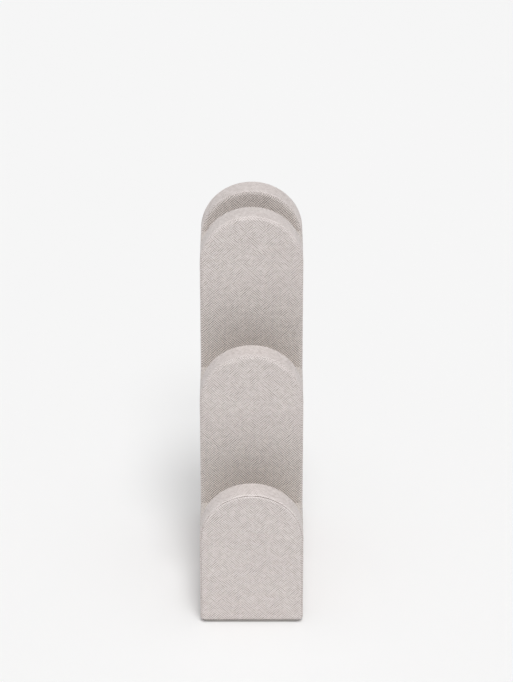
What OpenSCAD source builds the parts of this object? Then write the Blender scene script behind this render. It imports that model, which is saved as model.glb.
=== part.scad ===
// Three-tier eyeglasses display stand.
//
// Four arch-topped boards stand one behind another and climb in equal steps. A spacer
// block between each pair of boards stops short of the arches, so every arch has a slot
// behind it. Folded glasses hang over an arch: the frame leans on the face of the board
// and the folded temples lie in the slot. Each board and each spacer is wrapped in thin
// leatherette, dowels pin them together, and the whole stands on a felt pad.
//
// Units are millimetres. +X is right, +Y is back and +Z is up. The origin is on the
// table, under the middle of the stand.

/* [Stand] */
// Width of the stand over its covers
body_w = 50; // [40:1:70]
// Height of the front arch above the table
front_h = 71.8; // [60:0.2:100]
// Climb from one arch to the next
rise = 58.8; // [44:0.2:80]
// Height of the back board above the table
back_h = 188.6; // [180:0.2:200]

/* [Boards and slots] */
// Thickness of the bare board
board_core_t = 12; // [9:1:19]
// Thickness of the spacers, which is the width of the slots
slot_w = 18; // [12:1:30]
// Depth of the slots below the top of the arch in front of them
slot_depth = 22; // [12:1:25]
// Radius of the rounded edges over the covers
edge_r = 2; // [1.4:0.1:4]

/* [Covers] */
// Thickness of the leatherette
cover_t = 0.6; // [0.4:0.1:1.2]

/* [Dowels] */
// Diameter of the dowels
dowel_d = 6; // [5:1:8]
// How far a dowel reaches into the bare board on either side
dowel_grip = 5.4; // [4:0.2:7]
// Height of the lowest dowels above the foot, and of the slot floor above the highest
dowel_margin = 14; // [8:1:18]
// Distance of the outer dowel rows from the middle
dowel_x_wide = 15; // [13:1:16]
// Distance of the inner dowel rows from the middle
dowel_x_narrow = 7; // [5:1:8]

/* [Felt pad] */
// Thickness of the felt pad
pad_t = 1; // [0.6:0.1:3]
// Distance of the pad's edge inside the stand's edge
pad_inset = 1; // [0.5:0.1:4]
// Corner radius of the pad
pad_corner_r = 3; // [1:0.5:6]

/* [Hidden] */
$fn = 96;

// Play between a dowel and its hole, on the radius and at each end
dowel_play = 0.05;
dowel_end_play = 0.2;
dowel_chamfer = 0.7;

arch_r = body_w / 2;
board_t = board_core_t + 2 * cover_t;
pitch = board_t + slot_w;
body_d = 3 * pitch + board_t;
foot_z = pad_t;
dowel_l = slot_w + 2 * (cover_t + dowel_grip);

// Boards are numbered 0 to 3 from the front. Spacer n is behind board n.
function apex(board) = board < 3 ? front_h + board * rise : back_h;
function spring_z(board) = apex(board) - arch_r;
function board_y(board) = board * pitch - body_d / 2;
function spacer_y(spacer) = board_y(spacer) + board_t;
function floor_z(spacer) = apex(spacer) - slot_depth;

// Taller spacers take more rows of dowels, and the rows step in and out from one spacer
// to the next, so that the holes in the two faces of a board never meet
function dowel_rows(spacer) = spacer + 2;
function dowel_x(spacer) = spacer % 2 == 0 ? dowel_x_wide : dowel_x_narrow;
function dowel_z(spacer, row) =
    let (low = foot_z + dowel_margin, high = floor_z(spacer) - dowel_margin)
    low + (high - low) * row / (dowel_rows(spacer) - 1);

COVER = [0.80, 0.76, 0.74];
COVER_BAND = [0.84, 0.80, 0.78];
BOARD = [0.72, 0.58, 0.42];
BLOCK = [0.66, 0.52, 0.37];
DOWEL = [0.88, 0.76, 0.56];
FELT = [0.45, 0.43, 0.41];

// ---- Sections ----

// A rectangle with round corners, centred on X, with its lower edge at low
module rounded_rectangle(w, h, r, low = 0) {
    translate([0, low]) {
        translate([-w / 2, r]) square([w, h - 2 * r]);
        translate([-w / 2 + r, 0]) square([w - 2 * r, h]);
        for (x = [-w / 2 + r, w / 2 - r], y = [r, h - r])
            translate([x, y]) circle(r);
    }
}

// A board in plan, inset from the outside of its covers. Y is the depth behind its face.
module board_plan(inset) {
    rounded_rectangle(body_w - 2 * inset, board_t - 2 * inset, edge_r - inset, inset);
}

// The part of a board's plan that belongs to the face: up to the lines that halve the
// two front corners, with a little to spare outside the board
module face_share() {
    spare = 1;
    polygon([
        [-body_w / 2 - spare, -spare], [body_w / 2 + spare, -spare],
        [(body_w - board_t) / 2, board_t / 2], [-(body_w - board_t) / 2, board_t / 2]
    ]);
}

module rear_share() translate([0, board_t]) mirror([0, 1]) face_share();

// A spacer in front view, inset from the outside of its wrap
module block_section(spacer, inset) {
    h = floor_z(spacer) - foot_z - 2 * inset;
    rounded_rectangle(body_w - 2 * inset, h, edge_r - inset, foot_z + inset);
}

// ---- Bodies made from the sections ----

// Runs a plan section up from height low, and over the arch of a board
module arched(board, low) {
    translate([0, 0, low]) linear_extrude(spring_z(board) - low) children();
    translate([0, 0, spring_z(board)])
        rotate([90, 0, 0])
            rotate_extrude(angle = 180)
                mirror([0, 1])
                    intersection() {
                        children();
                        translate([0, -body_w]) square(2 * body_w);
                    }
}

// The round edges and corners that close a board at the foot
module rounded_foot(inset) {
    r = edge_r - inset;
    half = body_w / 2 - edge_r;
    deep = board_t - 2 * edge_r;
    translate([0, edge_r, foot_z + edge_r]) {
        translate([-half, 0, -r]) cube([2 * half, deep, r]);
        for (y = [0, deep])
            translate([0, y, 0]) rotate([0, 90, 0]) cylinder(h = 2 * half, r = r, center = true);
        for (x = [-half, half]) {
            translate([x, deep, 0]) rotate([90, 0, 0]) cylinder(h = deep, r = r);
            for (y = [0, deep])
                translate([x, y, 0]) sphere(r);
        }
    }
}

module board_solid(board, inset) {
    arched(board, foot_z + edge_r) board_plan(inset);
    rounded_foot(inset);
}

// A board's leatherette, all the way round it: the two covers and the edge band together
module board_skin(board) {
    difference() {
        board_solid(board, 0);
        board_solid(board, cover_t);
    }
}

module at_board(board) translate([0, board_y(board), 0]) children();

// Places children at every dowel of a spacer, with Z along the dowel and its middle at 0
module at_dowels(spacer) {
    for (side = [-1, 1], row = [0 : dowel_rows(spacer) - 1])
        translate([side * dowel_x(spacer), spacer_y(spacer) + slot_w / 2, dowel_z(spacer, row)])
            rotate([-90, 0, 0])
                children();
}

module dowel_holes(spacer) {
    if (spacer >= 0 && spacer <= 2)
        at_dowels(spacer)
            cylinder(h = dowel_l + 2 * dowel_end_play, r = dowel_d / 2 + dowel_play, center = true);
}

// A board has dowels in its face from the spacer in front, and in its back from its own
module drilled(board) {
    difference() {
        children();
        dowel_holes(board - 1);
        dowel_holes(board);
    }
}

module board_core(board) color(BOARD) drilled(board) at_board(board) board_solid(board, cover_t);

module face_cover(board) {
    color(COVER)
        drilled(board)
            at_board(board)
                intersection() {
                    board_skin(board);
                    arched(board, 0) face_share();
                }
}

module rear_cover(board) {
    color(COVER)
        drilled(board)
            at_board(board)
                intersection() {
                    board_skin(board);
                    arched(board, 0) rear_share();
                }
}

// The strip of leatherette between the two covers, up both sides and over the arch, with
// both ends turned in under the foot
module edge_band(board) {
    color(COVER_BAND)
        at_board(board)
            difference() {
                board_skin(board);
                arched(board, 0) face_share();
                arched(board, 0) rear_share();
            }
}

module along_slot(spacer) {
    translate([0, spacer_y(spacer) + slot_w, 0])
        rotate([90, 0, 0])
            linear_extrude(slot_w)
                children();
}

module spacer_core(spacer) {
    color(BLOCK)
        difference() {
            along_slot(spacer) block_section(spacer, cover_t);
            dowel_holes(spacer);
        }
}

// One strip of leatherette right round a spacer: slot floor, both sides and underneath
module spacer_wrap(spacer) {
    color(COVER_BAND)
        along_slot(spacer)
            difference() {
                block_section(spacer, 0);
                block_section(spacer, cover_t);
            }
}

module spacer_dowels(spacer) {
    color(DOWEL)
        at_dowels(spacer)
            rotate_extrude()
                polygon([
                    [0, -dowel_l / 2],
                    [dowel_d / 2 - dowel_chamfer, -dowel_l / 2],
                    [dowel_d / 2, -dowel_l / 2 + dowel_chamfer],
                    [dowel_d / 2, dowel_l / 2 - dowel_chamfer],
                    [dowel_d / 2 - dowel_chamfer, dowel_l / 2],
                    [0, dowel_l / 2]
                ]);
}

// ---- Sub-parts ----

module felt_base_pad() {
    pad_w = body_w - 2 * pad_inset;
    pad_d = body_d - 2 * pad_inset;
    color(FELT) linear_extrude(pad_t) rounded_rectangle(pad_w, pad_d, pad_corner_r, -pad_d / 2);
}

module front_board_core() board_core(0);
module front_board_face_cover() face_cover(0);
module front_board_rear_cover() rear_cover(0);
module front_board_edge_band() edge_band(0);

module middle_board_core() board_core(1);
module middle_board_face_cover() face_cover(1);
module middle_board_rear_cover() rear_cover(1);
module middle_board_edge_band() edge_band(1);

module upper_board_core() board_core(2);
module upper_board_face_cover() face_cover(2);
module upper_board_rear_cover() rear_cover(2);
module upper_board_edge_band() edge_band(2);

module back_board_core() board_core(3);
module back_board_face_cover() face_cover(3);
module back_board_rear_cover() rear_cover(3);
module back_board_edge_band() edge_band(3);

module front_spacer_core() spacer_core(0);
module front_spacer_wrap() spacer_wrap(0);
module front_spacer_dowels() spacer_dowels(0);

module middle_spacer_core() spacer_core(1);
module middle_spacer_wrap() spacer_wrap(1);
module middle_spacer_dowels() spacer_dowels(1);

module rear_spacer_core() spacer_core(2);
module rear_spacer_wrap() spacer_wrap(2);
module rear_spacer_dowels() spacer_dowels(2);

felt_base_pad();
front_board_core();
front_board_face_cover();
front_board_rear_cover();
front_board_edge_band();
middle_board_core();
middle_board_face_cover();
middle_board_rear_cover();
middle_board_edge_band();
upper_board_core();
upper_board_face_cover();
upper_board_rear_cover();
upper_board_edge_band();
back_board_core();
back_board_face_cover();
back_board_rear_cover();
back_board_edge_band();
front_spacer_core();
front_spacer_wrap();
front_spacer_dowels();
middle_spacer_core();
middle_spacer_wrap();
middle_spacer_dowels();
rear_spacer_core();
rear_spacer_wrap();
rear_spacer_dowels();
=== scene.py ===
"""Eyeglasses display stand: four arch-topped boards and the three spacers between them, each
wrapped in taupe saffiano leatherette, on a felt pad. The bare boards, the spacer blocks and
the dowels are the CAD model's own. The leatherette and the felt are made here."""

import math

import bmesh
import bpy
import numpy as np
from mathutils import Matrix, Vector, noise


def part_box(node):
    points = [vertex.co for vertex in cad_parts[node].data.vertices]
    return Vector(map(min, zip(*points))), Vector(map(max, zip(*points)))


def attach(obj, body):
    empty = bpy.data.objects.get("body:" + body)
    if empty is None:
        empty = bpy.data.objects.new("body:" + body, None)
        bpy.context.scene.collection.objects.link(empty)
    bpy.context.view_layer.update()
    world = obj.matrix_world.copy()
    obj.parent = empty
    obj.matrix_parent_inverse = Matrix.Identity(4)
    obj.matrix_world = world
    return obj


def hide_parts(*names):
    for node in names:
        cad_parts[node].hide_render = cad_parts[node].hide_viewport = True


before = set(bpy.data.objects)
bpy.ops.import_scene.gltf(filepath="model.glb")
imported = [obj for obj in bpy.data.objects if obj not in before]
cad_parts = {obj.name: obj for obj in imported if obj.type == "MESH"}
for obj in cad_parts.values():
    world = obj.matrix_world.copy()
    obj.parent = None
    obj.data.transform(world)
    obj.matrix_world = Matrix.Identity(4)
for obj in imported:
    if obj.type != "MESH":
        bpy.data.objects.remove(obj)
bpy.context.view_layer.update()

MM = 0.001
BOARDS = ("front", "middle", "upper", "back")
SPACERS = ("front", "middle", "rear")

# Leatherette. It is glued down almost flat, and the rim of a cut edge, its lip, is rounded.
EDGE_R = 2 * MM
GLUE_LINE = 0.03 * MM
LIP_R = 0.2 * MM
LIP_TURNS = np.radians([0, 22, 45, 68, 90])
UNDULATION = 0.025 * MM
UNDULATION_SIZE = 11 * MM
HATCH_PITCH = 0.92 * MM
HATCH_DEPTH = 0.24 * MM

# How far the hatch is shifted for each step of a piece's seed, so that no two pieces match
COVER_UV_SHIFT = np.array([0.013, 0.007])
STRIP_UV_SHIFT = 0.011

# The seams between a board's covers, half way round its rounded edges. Each wanders about
# its angle, and the gap between its lips opens and closes. Over the last stretch of a seam,
# as long as SEAM_JOIN, both come back to where they began.
SEAM_ANGLE = math.radians(45)
SEAM_WANDER = math.radians(1.6)
SEAM_WANDER_SIZE = 14 * MM
SEAM_GAP = {"front": 0.26 * MM, "middle": 0.08 * MM, "upper": 0.12 * MM, "back": 0.05 * MM}
SEAM_GAP_CHANGE = 0.9
SEAM_GAP_SIZE = 4 * MM
SEAM_JOIN = 20 * MM

# How strong the painted highlight is along the rolled edge over each board's arch, where the hatch
# is also flattened as stretching does. It takes hold where the arch starts to lean in, and is full
# where the way out of it rises by 1 over the first number below.
ARCH_HIGHLIGHT_RAMP = 1.8
ARCH_EDGE_HIGHLIGHT = {"front": 1.0, "middle": 0.65, "upper": 0.9, "back": 0.15}

# How much painted shade each slot gets: deep in it the hatch is painted darker. The painted shade
# reaches the first height below above the slot's floor, where it has faded out over the second.
SLOT_SHADE = (1.0, 0.9, 0.7)
SLOT_SHADE_REACH = 50 * MM
SLOT_SHADE_FADE = 40 * MM

# Spacer wraps. Their ends are shaped within WRAP_MARGIN of the boards.
WRAP_MARGIN = 1 * MM
WRAP_TURN_FADE = 3 * MM
SKIN_DEPTH = 0.005 * MM

# Felt. Its rim is ragged by FELT_RAG, and drawn in by FELT_DRAWN_IN of that.
FELT_EDGE_R = 0.25 * MM
FELT_CORNER_R = 3 * MM
FELT_RAG = 0.12 * MM
FELT_DRAWN_IN = 0.6
FELT_TUFT = 1.6 * MM
FELT_FIBRE = 0.7 * MM

# How finely the meshes are divided
COLUMN_STEP = 1 * MM
ROW_STEP = 1.2 * MM
ARCH_STEPS = 56
BOARD_CORNER_STEPS = 8
ROLL_STEPS = 6
BAND_STEPS = 10
WRAP_CORNER_STEPS = 6
WRAP_STEPS = 12
FELT_COLUMNS = 40
FELT_ROWS = 84
FELT_CORNER_STEPS = 8
WELD = 0.0002 * MM
CUTTER_WELD = 0.001 * MM
SHARP_ANGLE = math.radians(50)

# Camera, floor and light. Each lamp has its name, the way to it, its strength, and how many
# degrees wide it is in the sky.
CAMERA_DISTANCE = 1.5
CAMERA_ELEVATION = math.radians(27.4)
CAMERA_LENS = 163.7
CAMERA_SENSOR = 36
AIM_RIGHT = 2.38 * MM
AIM_BACK = -3.4 * MM
AIM_UP = 129.15 * MM
FLOOR_HALF = 6.0
SKY_STRENGTH = 0.412
LAMPS = (
    ("key", (0.14, -0.79, 1.0), 0.4, 14),
    ("softbox", (0.1, -0.35, 1.0), 1.07, 20),
    ("overhead", (0.0, 0.0, 1.0), 0.515, 60),
)


# ---- Outlines and surfaces ----

class Route:
    """A closed outline in a plane, walked anticlockwise. Each stop has its point, the way out
    of the outline there, and the length walked so far on the skin that lies reach outside."""

    def __init__(self, reach):
        self.reach = reach
        self.points = []
        self.ways = []
        self.walked = []

    def stop(self, point, way, step):
        self.points.append(point)
        self.ways.append(way)
        self.walked.append(self.walked[-1] + step if self.walked else 0.0)

    def straight(self, start, end, steps):
        start, end = np.array(start), np.array(end)
        along = (end - start) / np.linalg.norm(end - start)
        way = np.array([along[1], -along[0]])
        step = np.linalg.norm(end - start) / steps
        for i in range(1 if self.points else 0, steps + 1):
            self.stop(start + (end - start) * i / steps, way, step)

    def turn(self, centre, radius, first, last, steps):
        """A round stretch from the angle first to last, in degrees. A radius of 0 is a corner."""
        centre = np.array(centre)
        step = math.radians(last - first) / steps
        for i in range(1, steps + 1):
            angle = math.radians(first) + step * i
            way = np.array([math.cos(angle), math.sin(angle)])
            self.stop(centre + radius * way, way, step * (radius + self.reach))

    def arrays(self):
        return np.array(self.points), np.array(self.ways), np.array(self.walked)


class Surface:
    """Collects grids of points with their UVs and marks, and welds them into one closed
    mesh. The marks steer the material: how far round a rolled edge the leatherette lies, weighted
    for the painted highlight there, and how much painted shade it gets deep in a slot."""

    def __init__(self):
        self.points = []
        self.uvs = []
        self.marks = []
        self.quads = []

    def grid(self, points, uvs, rolled=0.0, slot_shaded=0.0):
        """rolled says how far each point lies round a rolled edge, 0 on the flat and 1 at a
        seam, weighted for the painted highlight over an arch. The second mark says how much
        painted shade its hatch gets deep in a slot."""
        rows, columns = points.shape[:2]
        first = sum(len(p) for p in self.points)
        index = first + np.arange(rows * columns).reshape(rows, columns)
        corners = (index[:-1, :-1], index[1:, :-1], index[1:, 1:], index[:-1, 1:])
        self.quads.append(np.stack(corners, -1).reshape(-1, 4))
        self.points.append(points.reshape(-1, 3))
        self.uvs.append(uvs.reshape(-1, 2))
        flat = 0 * points[..., 0]
        self.marks.append(np.stack([flat + rolled, flat + slot_shaded], -1).reshape(-1, 2))

    def piece(self, name):
        points, uvs = np.concatenate(self.points), np.concatenate(self.uvs)
        marks, quads = np.concatenate(self.marks), np.concatenate(self.quads)
        mesh = bpy.data.meshes.new(name)
        mesh.from_pydata(points.tolist(), [], quads.tolist())
        for layer, values in (("leather", uvs), ("marks", marks)):
            values = values[quads.ravel()].astype(np.float32).ravel()
            mesh.uv_layers.new(name=layer).data.foreach_set("uv", values)
        made = bmesh.new()
        made.from_mesh(mesh)
        bmesh.ops.remove_doubles(made, verts=made.verts, dist=WELD)
        bmesh.ops.recalc_face_normals(made, faces=made.faces)
        made.to_mesh(mesh)
        made.free()
        mesh.shade_smooth()
        mesh.set_sharp_from_angle(angle=SHARP_ANGLE)
        piece = bpy.data.objects.new(name, mesh)
        bpy.context.scene.collection.objects.link(piece)
        return piece


def waver(points, size, seed):
    """Smooth noise from -1 to 1 at each point, about size across."""
    shift = Vector((seed, 2.7 * seed, 1.3 * seed))
    flat = points.reshape(-1, 3) / size
    values = [noise.noise(Vector(p) + shift) for p in flat]
    return np.array(values).reshape(points.shape[:-1])


def ring_waver(walked, size, seed):
    """Smooth noise along a closed route, which ends as it began: over the last stretch it
    turns into the noise that leads up to the start."""
    def at(lengths):
        return waver(np.stack([lengths, 0 * lengths, 0 * lengths], -1), size, seed)
    total = walked[-1]
    late = np.clip((walked - total) / SEAM_JOIN + 1, 0, 1)
    return (1 - late) * at(walked) + late * at(walked - total)


def undulation(points, seed):
    """How far glued leatherette lies above or below a perfect surface at each point."""
    return UNDULATION * waver(points, UNDULATION_SIZE, seed)


def sweep(route, out, depth, place):
    """Points for every stop of the route and every place of a profile. The profile is given
    by how far out of the route and how deep behind its plane each of its places lies."""
    points, ways = route[:2]
    across = points[:, None, :] + ways[:, None, :] * out[..., None]
    return place(across[..., 0], across[..., 1], depth)


# ---- The covers of a board ----

def outer_box(*nodes):
    """The lowest and highest corners of the CAD nodes taken together."""
    boxes = [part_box(n) for n in nodes]
    low = [min(b[0][i] for b in boxes) for i in range(3)]
    high = [max(b[1][i] for b in boxes) for i in range(3)]
    return np.array(low), np.array(high)


class Board:
    """The outside of a board over its leatherette, from the CAD model."""

    def __init__(self, name):
        self.name = name
        self.seed = 10 * (1 + BOARDS.index(name))
        skins = [f"{name}_board_{part}" for part in ("face_cover", "rear_cover", "edge_band")]
        self.low, self.high = outer_box(*skins)
        core_low = outer_box(f"{name}_board_core")[0]
        self.thickness = core_low[0] - self.low[0] - GLUE_LINE
        self.half = self.high[0] - EDGE_R
        self.foot = self.low[2] + EDGE_R
        self.spring = self.high[2] - self.high[0]
        self.deep = self.high[1] - self.low[1]
        self.columns = round(self.half / COLUMN_STEP)
        self.rows = round((self.spring - self.foot) / ROW_STEP)

    def route(self):
        """Once round the edge of the flat face, from the middle of the foot."""
        half, foot, spring = self.half, self.foot, self.spring
        route = Route(EDGE_R)
        route.straight((0, foot), (half, foot), self.columns)
        route.turn((half, foot), 0, -90, 0, BOARD_CORNER_STEPS)
        route.straight((half, foot), (half, spring), self.rows)
        route.turn((0, spring), half, 0, 180, ARCH_STEPS)
        route.straight((-half, spring), (-half, foot), self.rows)
        route.turn((-half, foot), 0, 180, 270, BOARD_CORNER_STEPS)
        route.straight((-half, foot), (0, foot), self.columns)
        return route.arrays()

    def face_grids(self):
        """The flat face as the x and z of two grids: below the arch, and in it."""
        xs = np.linspace(-self.half, self.half, 2 * self.columns + 1)
        zs = np.linspace(self.foot, self.spring, self.rows + 1)
        radii = np.linspace(0, self.half, self.columns + 1)[:, None]
        angles = np.linspace(0, math.pi, ARCH_STEPS + 1)
        arch = radii * np.cos(angles), self.spring + radii * np.sin(angles)
        return np.meshgrid(xs, zs), arch

    def seam(self, walked, rear):
        """Where the lips of the face or rear cover and of the edge band lie at their seam, as
        angles round the rounded edge."""
        seed = self.seed + 3 + 2 * rear
        middle = SEAM_ANGLE + SEAM_WANDER * ring_waver(walked, SEAM_WANDER_SIZE, seed)
        change = SEAM_GAP_CHANGE * ring_waver(walked, SEAM_GAP_SIZE, seed + 1)
        gap = SEAM_GAP[self.name] * (1 + change)
        return middle - gap / 2 / EDGE_R, middle + gap / 2 / EDGE_R

    def highlight_and_stretch(self, ways):
        """How strong the painted highlight, and the flattening of the hatch by stretching, are at
        each stop: only over the arch.
        """
        return ARCH_EDGE_HIGHLIGHT[self.name] * np.clip(ARCH_HIGHLIGHT_RAMP * ways[:, 1:], 0, 1)


def edge_profile(thickness):
    """How a cover runs round the rounded edge and ends at a seam. Each place on it is a share
    of the way to the start of the lip, an angle past that start, and a depth below the skin."""
    share = np.linspace(0, 1, ROLL_STEPS + 1)[:-1]
    past_lip = np.append(np.sin(LIP_TURNS), 1) * LIP_R / EDGE_R
    below_lip = np.append(LIP_R * (1 - np.cos(LIP_TURNS)), thickness)
    shares = np.concatenate([share, 0 * past_lip + 1])
    past = np.concatenate([0 * share, past_lip])
    below = np.concatenate([0 * share, below_lip])
    return shares, past, below


def slot_shade_at(board, rear):
    """Gives how much painted shade a cover gets at each height: most at the floor of the slot it
    faces.
    """
    number = BOARDS.index(board.name) - (0 if rear else 1)
    if not 0 <= number < len(SPACERS):
        return lambda z: 0 * z
    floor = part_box(f"{SPACERS[number]}_spacer_wrap")[1][2]
    return lambda z: SLOT_SHADE[number] * np.clip((floor + SLOT_SHADE_REACH - z) / SLOT_SHADE_FADE, 0, 1)


def cover_piece(board, rear):
    """The face or the rear cover: flat inside the rounded edge, and rolled over it to the seam."""
    kind = "rear" if rear else "face"
    route = board.route()
    points, ways, walked = route
    seed = board.seed + (5 if rear else 0)
    uv_shift = COVER_UV_SHIFT * seed

    def place(x, z, depth):
        y = board.high[1] - depth if rear else board.low[1] + depth
        return np.stack([x, y + 0 * x, z], -1)

    def outwards(out_x, out_z, out_y):
        """A move in the plane of the face, and out of it by out_y."""
        return np.stack([out_x, out_y if rear else -out_y, out_z], -1)

    # The flat face, outside and inside
    slot_shaded = slot_shade_at(board, rear)
    surface = Surface()
    for x, z in board.face_grids():
        uvs = np.stack([x, z], -1) + uv_shift
        outer = place(x, z, 0 * x)
        lift = undulation(outer, seed)
        surface.grid(outer + outwards(0 * x, 0 * x, lift), uvs, slot_shaded=slot_shaded(z))
        surface.grid(place(x, z, 0 * x + board.thickness), uvs)

    # The rolled edge, outside and then inside
    shares, past, below = edge_profile(board.thickness)
    inner = np.linspace(1, 0, ROLL_STEPS + 1)[1:]
    skin = np.concatenate([np.clip(1 - below / LIP_R, 0, 1), 0 * inner])
    shares = np.concatenate([shares, inner])
    past = np.concatenate([past, 0 * inner])
    below = np.concatenate([below, 0 * inner + board.thickness])
    lip_start = board.seam(walked, rear)[0][:, None] - LIP_R / EDGE_R
    angle = shares * lip_start + past
    radius = EDGE_R - below + 0 * angle
    edge = sweep(route, radius * np.sin(angle), EDGE_R - radius * np.cos(angle), place)
    lift = undulation(edge, seed) * skin
    tilt_out = np.sin(angle)[..., None] * ways[:, None, :]
    edge = edge + lift[..., None] * outwards(tilt_out[..., 0], tilt_out[..., 1], np.cos(angle))
    uvs = points[:, None, :] + ways[:, None, :] * (EDGE_R * angle)[..., None] + uv_shift
    # The rolled edge gets the painted highlight over the arch and the painted shade of its slot
    surface.grid(edge, uvs, shares * board.highlight_and_stretch(ways), slot_shaded(edge[..., 2]))
    return surface.piece(f"{board.name}_board_{kind}_leather")


def band_piece(board):
    """The strip round a board's edge between the two seams."""
    route = board.route()
    ways, walked = route[1:]
    seed = board.seed + 8
    quarter = math.pi / 2
    shares, past, lip_below = (part[::-1] for part in edge_profile(board.thickness))
    front, rear = board.seam(walked, False)[1], board.seam(walked, True)[1]
    ones = np.ones((len(walked), 1))
    flat = ones * np.linspace(EDGE_R, board.deep - EDGE_R, BAND_STEPS + 1)[1:-1]

    def rounded(seam, below):
        """A rounded side, from its seam to the flat stretch: the angle round the edge, and
        how far out and how deep it lies there."""
        lip_start = seam[:, None] + LIP_R / EDGE_R
        angle = quarter - shares * (quarter - lip_start) - past
        radius = EDGE_R - below
        return angle, radius * np.sin(angle), EDGE_R - radius * np.cos(angle)

    def over(below, flat_below):
        """The way from the front seam over to the rear seam: how far out, how deep, how long
        and how steep it is at each place."""
        front_angle, front_out, front_depth = rounded(front, below)
        rear_angle, rear_out, rear_depth = (part[:, ::-1] for part in rounded(rear, below))
        parts = (
            (front_out, EDGE_R - flat_below + 0 * flat, rear_out),
            (front_depth, flat, board.deep - rear_depth),
            (EDGE_R * (front_angle - quarter) + EDGE_R, flat,
             board.deep - EDGE_R + EDGE_R * (quarter - rear_angle)),
            (np.cos(front_angle), 0 * flat, -np.cos(rear_angle)),
        )
        return np.stack([np.concatenate(part, 1) for part in parts])

    # The profile goes over the outside from the front seam to the rear one, and back inside
    outside = over(lip_below, 0)
    inside = over(0 * lip_below + board.thickness, board.thickness)[..., ::-1]
    out, depth, length, tilt = np.concatenate([outside, inside], -1)
    lip_skin = np.clip(1 - lip_below / LIP_R, 0, 1)
    outer_skin = np.concatenate([lip_skin, 0 * flat[0] + 1, lip_skin[::-1]])
    skin = np.concatenate([outer_skin, 0 * outer_skin])
    outer_rolled = np.concatenate([shares, 0 * flat[0], shares[::-1]])
    rolled = np.concatenate([outer_rolled, outer_rolled[::-1], outer_rolled[:1]])

    def closed(values):
        return np.concatenate([values, values[:, :1]], 1)

    def place(x, z, depth):
        return np.stack([x, board.low[1] + depth, z], -1)

    strip = sweep(route, out, depth, place)
    lift = undulation(strip, seed) * skin
    sideways = np.sqrt(np.clip(1 - tilt ** 2, 0, 1))
    push = np.stack([ways[:, :1] * sideways, -tilt, ways[:, 1:] * sideways], -1)
    strip = strip + lift[..., None] * push
    uvs = np.stack([length + STRIP_UV_SHIFT * seed, walked[:, None] + 0 * length], -1)
    surface = Surface()
    # The band carries the painted highlight over the arch
    surface.grid(closed(strip), closed(uvs), rolled * board.highlight_and_stretch(ways))
    return surface.piece(f"{board.name}_board_edge_leather")


# ---- The wrap of a spacer ----

# How the wrap ends against a board, as (how deep below the skin, how far past the spacer's
# end). On the slot floor it is cut flush. On the sides it is pared thin and turned in
# between the spacer and the rounded edge of the board. Both have as many points, so that one
# end can turn into the other.
CUT_END = np.array([
    (0, -0.30), (0.01, -0.22), (0.04, -0.14), (0.09, -0.08), (0.16, -0.04), (0.24, -0.03),
    (0.32, -0.03), (0.42, -0.03), (0.52, -0.03), (0.57, -0.03), (0.57, -0.04), (0.57, -0.30),
]) * MM
TURNED_END = np.array([
    (0, -0.34), (0.02, -0.18), (0.08, -0.04), (0.18, 0.07), (0.32, 0.14), (0.50, 0.16),
    (0.72, 0.15), (0.98, 0.11), (1.22, 0.06), (1.38, 0.02), (0.57, 0.005), (0.57, -0.30),
]) * MM


def wrap_route(half, foot, top):
    """Once round the flat end of a spacer, from the middle of its foot."""
    columns, rows = round(half / ROW_STEP), round((top - foot) / ROW_STEP)
    route = Route(EDGE_R)
    route.straight((0, foot), (half, foot), columns)
    route.turn((half, foot), 0, -90, 0, WRAP_CORNER_STEPS)
    route.straight((half, foot), (half, top), rows)
    route.turn((half, top), 0, 0, 90, WRAP_CORNER_STEPS)
    route.straight((half, top), (-half, top), 2 * columns)
    route.turn((-half, top), 0, 90, 180, WRAP_CORNER_STEPS)
    route.straight((-half, top), (-half, foot), rows)
    route.turn((-half, foot), 0, 180, 270, WRAP_CORNER_STEPS)
    route.straight((-half, foot), (0, foot), columns)
    return route.arrays()


def wrap_piece(name):
    """The strip of leatherette right round a spacer."""
    seed = 60 + 7 * SPACERS.index(name)
    low, high = outer_box(f"{name}_spacer_wrap")
    foot, top = low[2] + EDGE_R, high[2] - EDGE_R
    route = wrap_route(high[0] - EDGE_R, foot, top)
    points, ways, walked = route

    # The ends are turned in on the sides only, and fade to a flush cut at the corners
    beside = np.clip(np.abs(ways[:, 0]) * 1.4 - 0.4, 0, 1)
    from_corner = np.minimum(points[:, 1] - foot, top - points[:, 1])
    inside = np.clip(from_corner / WRAP_TURN_FADE, 0, 1)
    turned = (beside * inside)[:, None, None]
    end = CUT_END * (1 - turned) + TURNED_END * turned
    width = high[1] - low[1]
    middle = np.linspace(WRAP_MARGIN, width - WRAP_MARGIN, WRAP_STEPS + 1)
    flat = np.stack([0 * middle, middle], -1)[None] + 0 * turned
    front = np.stack([end[..., 0], -end[..., 1]], -1)
    back = np.stack([end[..., 0], width + end[..., 1]], -1)
    profile = np.concatenate([front[:, ::-1], flat, back], 1)
    profile = np.concatenate([profile, profile[:, :1]], 1)

    def place(x, z, depth):
        return np.stack([x, low[1] + depth, z], -1)

    wrap = sweep(route, EDGE_R - profile[..., 0], profile[..., 1], place)
    skin = (profile[..., 0] < SKIN_DEPTH).astype(float)
    lift = undulation(wrap, seed) * skin
    wrap[..., 0] += lift * ways[:, :1]
    wrap[..., 2] += lift * ways[:, 1:]
    length = profile[..., 1]
    uvs = np.stack([length + STRIP_UV_SHIFT * seed, walked[:, None] + 0 * length], -1)
    surface = Surface()
    # The top of each spacer, the floor of a slot, gets the painted shade of the slot in full
    surface.grid(wrap, uvs, slot_shaded=np.clip(ways[:, 1:], 0, 1))
    return surface.piece(f"{name}_spacer_leather")


# ---- The felt pad ----

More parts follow.
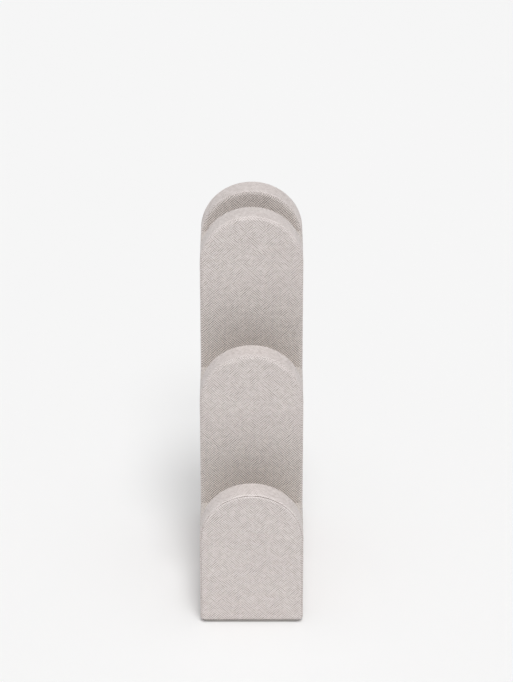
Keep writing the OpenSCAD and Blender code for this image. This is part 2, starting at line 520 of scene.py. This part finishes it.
def felt_piece():
    """The pad, with the slightly ragged edge of die-cut felt."""
    low, high = outer_box("felt_base_pad")
    half, deep, thick = high[0], high[1], high[2] - low[2]
    inner_x, inner_y = half - FELT_CORNER_R, deep - FELT_CORNER_R
    corner = np.linspace(0, math.pi / 2, FELT_CORNER_STEPS + 1)
    ys = np.concatenate([
        -inner_y - FELT_CORNER_R * np.cos(corner),
        np.linspace(-inner_y, inner_y, FELT_ROWS)[1:-1],
        inner_y + FELT_CORNER_R * np.sin(corner),
    ])
    past = np.clip(np.abs(ys) - inner_y, 0, None)
    reach = inner_x + np.sqrt(np.clip(FELT_CORNER_R ** 2 - past ** 2, 0, None))
    share = np.linspace(-1, 1, FELT_COLUMNS + 1)
    x, y = reach[:, None] * share, ys[:, None] + 0 * share

    def sheet(inset, z):
        """The outline drawn in by inset, at height z."""
        scale_x, scale_y = (half - inset) / half, (deep - inset) / deep
        return np.stack([x * scale_x, y * scale_y, 0 * x + z], -1)

    def rim(points):
        """The outer points of a sheet in order, ending at the first again."""
        return np.concatenate([
            points[0], points[1:, -1], points[-1, -2::-1], points[-2:0:-1, 0], points[:1, 0],
        ])

    # The side, from the bottom up: a rounded edge, the middle, and the same edge in reverse
    levels = [(FELT_EDGE_R, low[2])]
    for angle in np.radians([30, 60, 90]):
        inset = FELT_EDGE_R * (1 - math.sin(angle))
        levels.append((inset, low[2] + FELT_EDGE_R * (1 - math.cos(angle))))
    levels += [(inset, low[2] + high[2] - z) for inset, z in reversed(levels)]
    levels.insert(len(levels) // 2, (0, low[2] + thick / 2))
    side = np.stack([rim(sheet(inset, z)) for inset, z in levels])
    out = side.copy()
    out[..., 2] = 0
    out /= np.linalg.norm(out, axis=-1, keepdims=True)
    ragged = 0.5 * waver(side, FELT_TUFT, 5) + 0.5 * waver(side, FELT_FIBRE, 9)
    fade = np.array([0] + [1] * (len(levels) - 2) + [0])[:, None]
    side = side + out * (FELT_RAG * (ragged - FELT_DRAWN_IN) * fade)[..., None]
    surface = Surface()
    for z in (low[2], high[2]):
        sheet_points = sheet(FELT_EDGE_R, z)
        surface.grid(sheet_points, sheet_points[..., :2])
    uvs = np.stack([side[..., 0] + side[..., 2], side[..., 1]], -1)
    surface.grid(side, uvs)
    return surface.piece("felt_pad")


# ---- Holes for the dowels ----

def dowel_cutter(name):
    """A closed copy of a spacer's dowels, to cut their holes through the covers."""
    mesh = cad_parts[f"{name}_spacer_dowels"].data.copy()
    made = bmesh.new()
    made.from_mesh(mesh)
    bmesh.ops.remove_doubles(made, verts=made.verts, dist=CUTTER_WELD)
    bmesh.ops.recalc_face_normals(made, faces=made.faces)
    made.to_mesh(mesh)
    made.free()
    cutter = bpy.data.objects.new(f"{name}_cutter", mesh)
    bpy.context.scene.collection.objects.link(cutter)
    return cutter


def drill(piece, cutter):
    """Cuts the dowels' holes. The cut can reorder the UV layers, so the active one is set."""
    bore = piece.modifiers.new("holes", "BOOLEAN")
    bore.operation = "DIFFERENCE"
    bore.solver = "MANIFOLD"
    bore.object = cutter
    evaluated = piece.evaluated_get(bpy.context.evaluated_depsgraph_get())
    drilled = bpy.data.meshes.new_from_object(evaluated)
    piece.modifiers.clear()
    drilled.uv_layers["leather"].active = True
    drilled.uv_layers["leather"].active_render = True
    plain, piece.data = piece.data, drilled
    drilled.name = piece.name
    bpy.data.meshes.remove(plain)


# ---- Materials ----

class Nodes:
    """Short ways to add and join the nodes of one material."""

    def __init__(self, name):
        self.material = bpy.data.materials.new(name)
        self.material.use_nodes = True
        self.tree = self.material.node_tree
        self.shader = self.tree.nodes["Principled BSDF"]

    def add(self, kind, inputs=None, **settings):
        node = self.tree.nodes.new(kind)
        for key, value in settings.items():
            setattr(node, key, value)
        for key, value in (inputs or {}).items():
            self.feed(node.inputs[key], value)
        return node

    def feed(self, socket, value):
        if isinstance(value, bpy.types.NodeSocket):
            self.tree.links.new(value, socket)
        else:
            socket.default_value = value

    def math(self, operation, *values):
        node = self.add("ShaderNodeMath", operation=operation)
        for socket, value in zip(node.inputs, values):
            self.feed(socket, value)
        return node.outputs[0]

    def vector(self, operation, *values):
        node = self.add("ShaderNodeVectorMath", operation=operation)
        for socket, value in zip(node.inputs, values):
            self.feed(socket, value)
        return node.outputs[0]

    def noise(self, vector, size, detail=2.0, rough=0.5, colour=False):
        inputs = {"Vector": vector, "Scale": 1 / size, "Detail": detail, "Roughness": rough}
        node = self.add("ShaderNodeTexNoise", inputs)
        return node.outputs["Color" if colour else "Fac"]

    def span(self, value, low, high, to_low=0.0, to_high=1.0):
        """The value's way from low to high, as the way from to_low to to_high."""
        inputs = {"Value": value, "From Min": low, "From Max": high,
                  "To Min": to_low, "To Max": to_high}
        return self.add("ShaderNodeMapRange", inputs, clamp=True).outputs["Result"]

    def blend(self, share, first, second):
        node = self.add("ShaderNodeMix", data_type="RGBA")
        for key, value in (("Factor_Float", share), ("A_Color", first), ("B_Color", second)):
            self.feed(next(s for s in node.inputs if s.identifier == key), value)
        return next(s for s in node.outputs if s.identifier == "Result_Color")

    def bump(self, height, distance):
        inputs = {"Height": height, "Distance": distance, "Strength": 1.0}
        return self.add("ShaderNodeBump", inputs).outputs["Normal"]

    def set(self, **sockets):
        """Feeds the shader's sockets, named with _ for each space, and gives the material."""
        for key, value in sockets.items():
            self.feed(self.shader.inputs[key.replace("_", " ")], value)
        return self.material


def srgb(red, green, blue):
    """A colour given as 0 to 255 per channel, as the linear numbers that nodes take."""
    def linear(value):
        value /= 255
        return value / 12.92 if value <= 0.04045 else ((value + 0.055) / 1.055) ** 2.4
    return (linear(red), linear(green), linear(blue), 1.0)


def hatch_lines(n, place, degrees, seed, slot_shaded):
    """One way of the hatch, from 0 beside its lines to 1 in the middle of a deep one. Deep
    in a slot, as part of its painted shade, the lines are narrower and more even."""
    inputs = {"Vector": place, "Angle": math.radians(degrees)}
    turned = n.add("ShaderNodeVectorRotate", inputs, rotation_type="Z_AXIS").outputs[0]
    across = n.add("ShaderNodeSeparateXYZ", {0: turned}).outputs[0]
    wave = n.math("SINE", n.math("MULTIPLY", across, 2 * math.pi / HATCH_PITCH))
    line = n.span(wave, n.math("MULTIPLY_ADD", slot_shaded, 0.65, -0.1), 0.9)
    # Each line is pressed harder in some stretches than in others
    drawn_out = n.vector("ADD", n.vector("MULTIPLY", turned, (1, 0.35, 1)), (seed, 0, 0))
    least = n.math("MULTIPLY_ADD", slot_shaded, 0.15, 0.55)
    press = n.span(n.noise(drawn_out, 1.1 * MM, 1.0), 0.35, 0.6, least, 1)
    return n.math("MULTIPLY", line, press)


def leatherette():
    """Taupe saffiano: fine lines pressed at both diagonals, over a faint grain."""
    n = Nodes("saffiano_leatherette")
    uv = n.add("ShaderNodeUVMap", uv_map="leather").outputs[0]
    marks = n.add("ShaderNodeUVMap", uv_map="marks").outputs[0]
    rolled, slot_shaded = n.add("ShaderNodeSeparateXYZ", {0: marks}).outputs[:2]
    sway = n.vector("SUBTRACT", n.noise(uv, 2.6 * MM, 2.0, 0.6, colour=True), (0.5, 0.5, 0.5))
    swayed = n.vector("ADD", uv, n.vector("MULTIPLY", sway, (0.2 * MM, 0.2 * MM, 0)))
    rising = hatch_lines(n, swayed, 45, 0.1, slot_shaded)
    falling = hatch_lines(n, swayed, -45, 0.2, slot_shaded)
    # In most places one way of the hatch is pressed deeper than the other
    lean = n.span(n.noise(uv, 6 * MM, 1.0), 0.35, 0.65, 0.4, 1.0)
    hatch = n.math("MAXIMUM", n.math("MULTIPLY", rising, lean),
                   n.math("MULTIPLY", falling, n.math("SUBTRACT", 1.4, lean)))
    # Over the rolled edge of an arch the hatch is flattened, as stretching does, and the colour is
    # painted paler: a painted highlight
    rolled = n.math("MULTIPLY", n.span(rolled, 0.35, 1),
                    n.span(n.noise(uv, 3 * MM, 2.0), 0.35, 0.65, 0.5, 1))
    hatch = n.math("MULTIPLY", hatch, n.span(rolled, 0, 1, 1, 0.5))
    grain = n.noise(uv, 0.28 * MM, 3.0, 0.6)
    height = n.math("SUBTRACT", n.math("MULTIPLY", grain, 0.18), hatch)

    mottle = n.noise(uv, 16 * MM, 3.0, 0.55)
    base = n.blend(n.span(mottle, 0.3, 0.7), srgb(243, 234, 233), srgb(248, 240, 238))
    # Painted shade: deep in a slot the base is painted darker and warmer, and the hatch lines
    # almost black
    base = n.blend(slot_shaded, base, srgb(246, 237, 231))
    line_colour = n.blend(slot_shaded, srgb(172, 161, 151), srgb(24, 17, 6))
    colour = n.blend(hatch, base, line_colour)
    speck = n.span(n.noise(uv, 0.5 * MM, 2.0, 0.7), 0.66, 0.78)
    colour = n.blend(n.math("MULTIPLY", speck, 0.35), colour, srgb(240, 233, 229))
    # Painted highlight: the rolled edge of each arch is painted paler
    colour = n.blend(n.math("MULTIPLY", rolled, 0.25), colour, srgb(252, 246, 243))
    roughness = n.span(hatch, 0, 1, 0.48, 0.64)
    return n.set(Base_Color=colour, Roughness=roughness, Specular_IOR_Level=0.4,
                 Normal=n.bump(height, HATCH_DEPTH))


def object_place(n):
    """A place on the piece, in metres."""
    return n.add("ShaderNodeTexCoord").outputs["Object"]


def fibreboard():
    """Bare fibreboard: pressed fibres, darker specks, and a dull sanded surface."""
    n = Nodes("fibreboard")
    place = object_place(n)
    fibres = n.noise(n.vector("MULTIPLY", place, (1, 3, 1)), 0.9 * MM, 4.0, 0.65)
    cloud = n.noise(place, 9 * MM, 3.0)
    colour = n.blend(n.span(fibres, 0.3, 0.7), srgb(112, 98, 87), srgb(146, 130, 116))
    colour = n.blend(n.span(cloud, 0.3, 0.7, 0, 0.35), colour, srgb(126, 111, 98))
    specks = n.span(n.noise(place, 0.45 * MM, 2.0, 0.7), 0.64, 0.74)
    colour = n.blend(n.math("MULTIPLY", specks, 0.6), colour, srgb(78, 67, 58))
    roughness = n.span(fibres, 0.2, 0.8, 0.72, 0.9)
    return n.set(Base_Color=colour, Roughness=roughness, Normal=n.bump(fibres, 0.05 * MM))


def beech():
    """Turned beech, with its grain and short rays along the dowel."""
    n = Nodes("beech_dowel")
    place = object_place(n)
    grain = n.noise(n.vector("MULTIPLY", place, (1, 0.06, 1)), 0.5 * MM, 4.0, 0.6)
    rays = n.noise(n.vector("MULTIPLY", place, (1, 0.18, 1)), 0.3 * MM, 1.0)
    colour = n.blend(n.span(grain, 0.3, 0.7), srgb(214, 178, 132), srgb(232, 202, 160))
    colour = n.blend(n.span(rays, 0.62, 0.72, 0, 0.6), colour, srgb(178, 134, 92))
    roughness = n.span(grain, 0.2, 0.8, 0.5, 0.68)
    return n.set(Base_Color=colour, Roughness=roughness, Normal=n.bump(grain, 0.03 * MM))


def felt():
    """Grey felt: matted fibres with a soft sheen."""
    n = Nodes("grey_felt")
    place = object_place(n)
    tangle = n.noise(n.vector("ADD", place, n.noise(place, 0.8 * MM, 2.0, colour=True)),
                     0.35 * MM, 4.0, 0.7)
    cloud = n.noise(place, 5 * MM, 2.0)
    colour = n.blend(n.span(tangle, 0.3, 0.7), srgb(158, 154, 151), srgb(198, 194, 190))
    colour = n.blend(n.span(cloud, 0.3, 0.7, 0, 0.3), colour, srgb(170, 165, 162))
    return n.set(Base_Color=colour, Roughness=0.95, Sheen_Weight=0.4, Sheen_Roughness=0.5,
                 Normal=n.bump(tangle, 0.12 * MM))


def pale_floor():
    """The studio floor: matt, and as pale as the background."""
    n = Nodes("pale_floor")
    tone = n.noise(object_place(n), 0.4, 2.0)
    colour = n.blend(tone, srgb(246, 246, 246), srgb(248, 248, 248))
    return n.set(Base_Color=colour, Roughness=0.9, Specular_IOR_Level=0.1)


# ---- Scene ----

def dress(piece, material, node):
    """Gives a made piece its material, and puts it in the place of its CAD node."""
    piece.data.materials.clear()
    piece.data.materials.append(material)
    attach(piece, "root")
    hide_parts(node)


def finish_cad(node, material):
    """Gives a CAD node that stays a better material."""
    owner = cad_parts[node]
    if not owner.material_slots:
        owner.data.materials.append(material)
    for material_slot in owner.material_slots:
        material_slot.material = material


def make_stand():
    leather, bare, wood, pad = leatherette(), fibreboard(), beech(), felt()
    cutters = {name: dowel_cutter(name) for name in SPACERS}
    for number, name in enumerate(BOARDS):
        board = Board(name)
        face, rear, band = cover_piece(board, False), cover_piece(board, True), band_piece(board)
        if number > 0:
            drill(face, cutters[SPACERS[number - 1]])
        if number < len(SPACERS):
            drill(rear, cutters[SPACERS[number]])
        dress(face, leather, f"{name}_board_face_cover")
        dress(rear, leather, f"{name}_board_rear_cover")
        dress(band, leather, f"{name}_board_edge_band")
        finish_cad(f"{name}_board_core", bare)
    for name in SPACERS:
        dress(wrap_piece(name), leather, f"{name}_spacer_wrap")
        finish_cad(f"{name}_spacer_core", bare)
        finish_cad(f"{name}_spacer_dowels", wood)
        bpy.data.objects.remove(cutters[name])
    dress(felt_piece(), pad, "felt_base_pad")


def make_floor():
    mesh = bpy.data.meshes.new("floor")
    size = FLOOR_HALF
    corners = [(-size, -size, 0), (size, -size, 0), (size, size, 0), (-size, size, 0)]
    mesh.from_pydata(corners, [], [(0, 1, 2, 3)])
    floor = bpy.data.objects.new("floor", mesh)
    floor.data.materials.append(pale_floor())
    bpy.context.scene.collection.objects.link(floor)


def aim(thing, target):
    thing.rotation_mode = "QUATERNION"
    thing.rotation_quaternion = (Vector(target) - thing.location).to_track_quat("-Z", "Y")


def make_camera():
    data = bpy.data.cameras.new("camera")
    data.lens = CAMERA_LENS
    data.sensor_width = CAMERA_SENSOR
    camera = bpy.data.objects.new("camera", data)
    bpy.context.scene.collection.objects.link(camera)
    target = Vector((AIM_RIGHT, AIM_BACK, AIM_UP))
    back = Vector((0, -math.cos(CAMERA_ELEVATION), math.sin(CAMERA_ELEVATION)))
    camera.location = target + back * CAMERA_DISTANCE
    aim(camera, target)
    bpy.context.scene.camera = camera


def sun(name, toward, power, spread):
    """A light from far away in the direction toward, spread degrees wide in the sky."""
    data = bpy.data.lights.new(name, "SUN")
    data.energy = power
    data.angle = math.radians(spread)
    light = bpy.data.objects.new(name, data)
    bpy.context.scene.collection.objects.link(light)
    light.location = toward
    aim(light, (0, 0, 0))


def make_light():
    world = bpy.data.worlds.new("studio")
    world.use_nodes = True
    background = world.node_tree.nodes["Background"]
    background.inputs["Color"].default_value = (1.0, 1.0, 1.0, 1)
    background.inputs["Strength"].default_value = SKY_STRENGTH
    bpy.context.scene.world = world
    for lamp in LAMPS:
        sun(*lamp)


make_stand()
make_floor()
make_camera()
make_light()
bpy.context.scene.view_settings.view_transform = "Standard"
